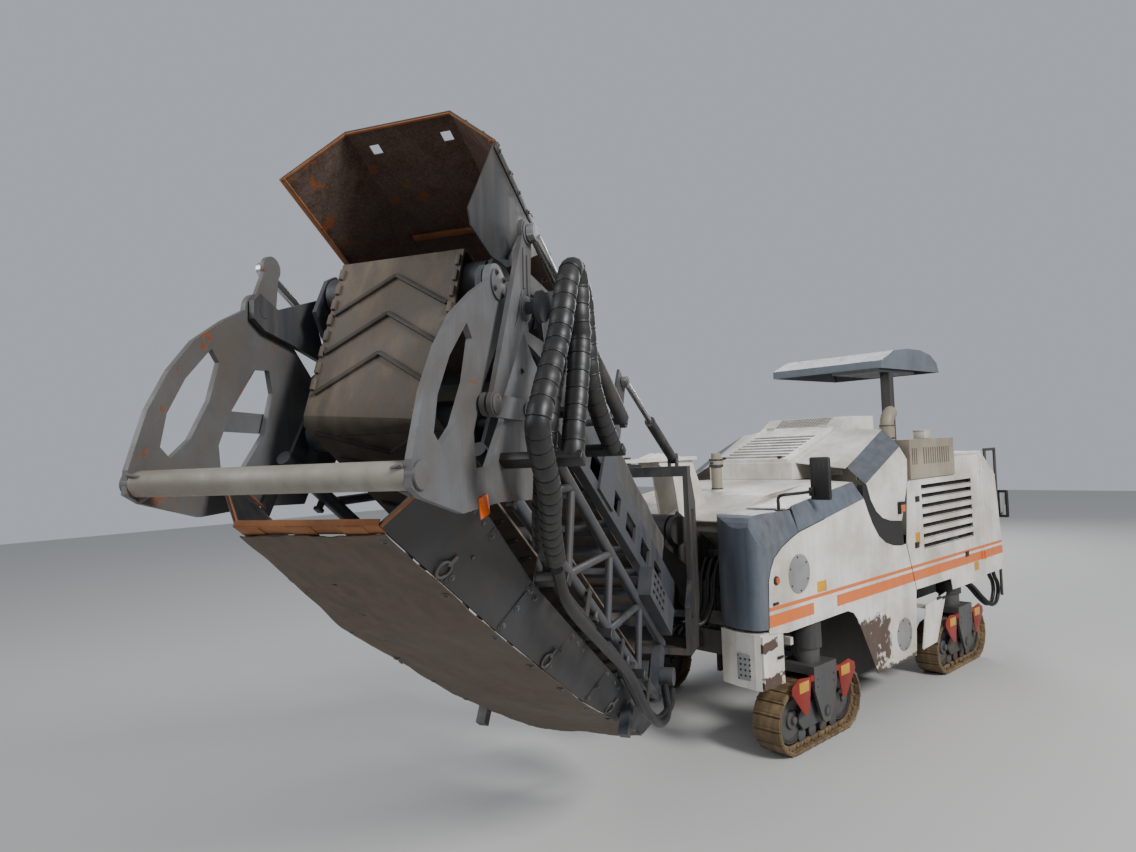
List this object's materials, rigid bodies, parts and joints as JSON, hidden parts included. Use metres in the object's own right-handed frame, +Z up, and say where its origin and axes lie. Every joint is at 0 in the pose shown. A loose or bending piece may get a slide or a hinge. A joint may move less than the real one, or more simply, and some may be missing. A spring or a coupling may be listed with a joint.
{
  "type": "cold planer milling machine",
  "caption": "Cold planer on four steered track units with a milling drum and a slewing discharge conveyor folded back under itself.",
  "frame": {"origin": "on the ground midway between the four steering columns", "axes": "+X forward towards the conveyor, +Y to the machine's left, +Z up"},
  "size_m": [9.7992, 3.8736, 4.003],
  "materials": {
    "white_paint": "satin",
    "grey_paint": "satin",
    "dark_steel": "matt",
    "worn_steel": "worn",
    "tan_paint": "matt",
    "rusty_steel": "matt",
    "canvas": "matt",
    "belt_rubber": "matt",
    "black_rubber": "matt",
    "shoe_steel": "matt"
  },
  "bodies": {
    "chassis": {"main_frame": "dark_steel", "column_guides": "dark_steel", "side_panels": "white_paint", "front_corner_covers": "grey_paint", "front_lower_boxes": "white_paint", "front_deck": "white_paint", "shoulder_bands": "grey_paint", "hood_body": "white_paint", "conveyor_support_arm": "white_paint", "filler_pipe": "tan_paint", "platform_shields": "white_paint", "entry_channels": "black_rubber", "operator_platform": "worn_steel", "control_console": "dark_steel", "operator_seat": "black_rubber", "engine_hood": "white_paint", "engine_block": "worn_steel", "heat_shield_box": "tan_paint", "exhaust_elbow": "tan_paint", "rear_handrail": "dark_steel", "canopy_mast": "dark_steel", "canopy_roof": "grey_paint", "mirrors": "dark_steel", "drum_housing": "dark_steel", "collecting_conveyor": "dark_steel", "rear_hoses": "black_rubber"},
    "hood_lid": {"louvred_hood": "white_paint"},
    "left_engine_door": {"left_engine_door": "white_paint"},
    "right_engine_door": {"right_engine_door": "white_paint"},
    "milling_drum": {"milling_drum": "worn_steel"},
    "scraper": {"scraper_blade": "dark_steel"},
    "front_left_unit": {"front_left_leg": "worn_steel", "front_left_track": "shoe_steel"},
    "front_right_unit": {"front_right_leg": "worn_steel", "front_right_track": "shoe_steel"},
    "rear_left_unit": {"rear_left_leg": "worn_steel", "rear_left_track": "shoe_steel"},
    "rear_right_unit": {"rear_right_leg": "worn_steel", "rear_right_track": "shoe_steel"},
    "slew_frame": {"slew_frame": "dark_steel", "slew_hoses": "black_rubber"},
    "inner_half": {"inner_conveyor_frame": "grey_paint", "inner_conveyor_belt": "belt_rubber", "fold_belt": "belt_rubber", "inner_steel_hood": "rusty_steel", "inner_canvas_cover": "canvas", "fold_hoses": "black_rubber"},
    "lift_barrels": {"lift_cylinder_barrels": "dark_steel"},
    "lift_rods": {"lift_cylinder_rods": "worn_steel"},
    "fold_barrels": {"fold_cylinder_barrels": "dark_steel"},
    "fold_rods": {"fold_cylinder_rods": "worn_steel"},
    "fold_levers": {"fold_levers": "worn_steel"},
    "fold_links": {"fold_links": "worn_steel"},
    "outer_half": {"outer_conveyor_frame": "grey_paint", "outer_arm_plates": "worn_steel", "outer_conveyor_belt": "belt_rubber", "outer_side_plates": "dark_steel", "outer_canvas_cover": "canvas", "conveyor_hoses": "black_rubber"}
  },
  "joints": [
    {"name": "conveyor_slew", "type": "hinge", "parent": "chassis", "child": "slew_frame", "pos_m": [2.6, 0, 0], "axis": [0, 0, 1], "range_deg": [-83, 27], "deforming": ["slew_hoses"]},
    {"name": "conveyor_lift", "type": "hinge", "parent": "slew_frame", "child": "inner_half", "pos_m": [2.95555, 0.18905, 1.23132], "axis": [0.4695, -0.8829, 0], "range_deg": [-14, 6]},
    {"name": "lift_barrel_tilt", "type": "hinge", "parent": "slew_frame", "child": "lift_barrels", "pos_m": [2.86488, 0.14084, 2.44], "axis": [0.4695, -0.8829, 0], "range_deg": [-17, 8]},
    {"name": "lift_rod_slide", "type": "slide", "parent": "lift_barrels", "child": "lift_rods", "axis": [0.8234, 0.4378, 0.361], "range_m": [-0.13, 0.3]},
    {"name": "conveyor_fold", "type": "hinge", "parent": "inner_half", "child": "outer_half", "pos_m": [5.99052, 1.80277, 3.18], "axis": [0.4695, -0.8829, 0], "range_deg": [0, 177], "deforming": ["fold_belt", "fold_hoses"]},
    {"name": "lever_swing", "type": "hinge", "parent": "inner_half", "child": "fold_levers", "pos_m": [5.87699, 1.74241, 3.10274], "axis": [0.4695, -0.8829, 0], "range_deg": [0, 78]},
    {"name": "link_swing", "type": "hinge", "parent": "outer_half", "child": "fold_links", "pos_m": [5.84584, 1.72584, 2.70761], "axis": [0.4695, -0.8829, 0], "range_deg": [0, 113]},
    {"name": "fold_barrel_tilt", "type": "hinge", "parent": "inner_half", "child": "fold_barrels", "pos_m": [4.75668, 1.14673, 2.69034], "axis": [0.4695, -0.8829, 0], "range_deg": [-7, 1]},
    {"name": "fold_rod_slide", "type": "slide", "parent": "fold_barrels", "child": "fold_rods", "axis": [0.7616, 0.4049, 0.506], "range_m": [-0.37, 0.01]},
    {"name": "front_left_steer", "type": "hinge", "parent": "chassis", "child": "front_left_unit", "pos_m": [1.49, 0.96, 0], "axis": [0, 0, 1], "range_deg": [-15, 15]},
    {"name": "front_right_steer", "type": "hinge", "parent": "chassis", "child": "front_right_unit", "pos_m": [1.49, -0.96, 0], "axis": [0, 0, 1], "range_deg": [-15, 15]},
    {"name": "rear_left_steer", "type": "hinge", "parent": "chassis", "child": "rear_left_unit", "pos_m": [-1.49, 0.96, 0], "axis": [0, 0, 1], "range_deg": [-15, 15]},
    {"name": "rear_right_steer", "type": "hinge", "parent": "chassis", "child": "rear_right_unit", "pos_m": [-1.49, -0.96, 0], "axis": [0, 0, 1], "range_deg": [-15, 15]},
    {"name": "drum_spin", "type": "hinge", "parent": "chassis", "child": "milling_drum", "pos_m": [0, 0, 0.62], "axis": [0, 1, 0], "continuous": true},
    {"name": "scraper_swing", "type": "hinge", "parent": "chassis", "child": "scraper", "pos_m": [-0.59, 0, 0.9], "axis": [0, 1, 0], "range_deg": [0, 60]},
    {"name": "left_engine_door_swing", "type": "hinge", "parent": "chassis", "child": "left_engine_door", "pos_m": [-2.198, 1.1143, 0], "axis": [0, 0, 1], "range_deg": [0, 100]},
    {"name": "right_engine_door_swing", "type": "hinge", "parent": "chassis", "child": "right_engine_door", "pos_m": [-1.088, -1.1143, 0], "axis": [0, 0, -1], "range_deg": [0, 100]},
    {"name": "hood_lid_swing", "type": "hinge", "parent": "chassis", "child": "hood_lid", "pos_m": [-0.314, 0, 2.69176], "axis": [0, -1, 0], "range_deg": [0, 45]}
  ],
  "couplings": [
    {"joint": "lift_barrel_tilt", "follows": "conveyor_lift", "ratio": 1.17},
    {"joint": "lift_rod_slide", "follows": "conveyor_lift", "m_per_rad": -1.17},
    {"joint": "lever_swing", "follows": "conveyor_fold", "ratio": 0.437},
    {"joint": "link_swing", "follows": "conveyor_fold", "ratio": 0.633},
    {"joint": "fold_barrel_tilt", "follows": "conveyor_fold", "ratio": -0.034},
    {"joint": "fold_rod_slide", "follows": "conveyor_fold", "m_per_rad": -0.118},
    {"joint": "front_right_steer", "follows": "front_left_steer", "ratio": 1},
    {"joint": "rear_right_steer", "follows": "rear_left_steer", "ratio": 1}
  ]
}
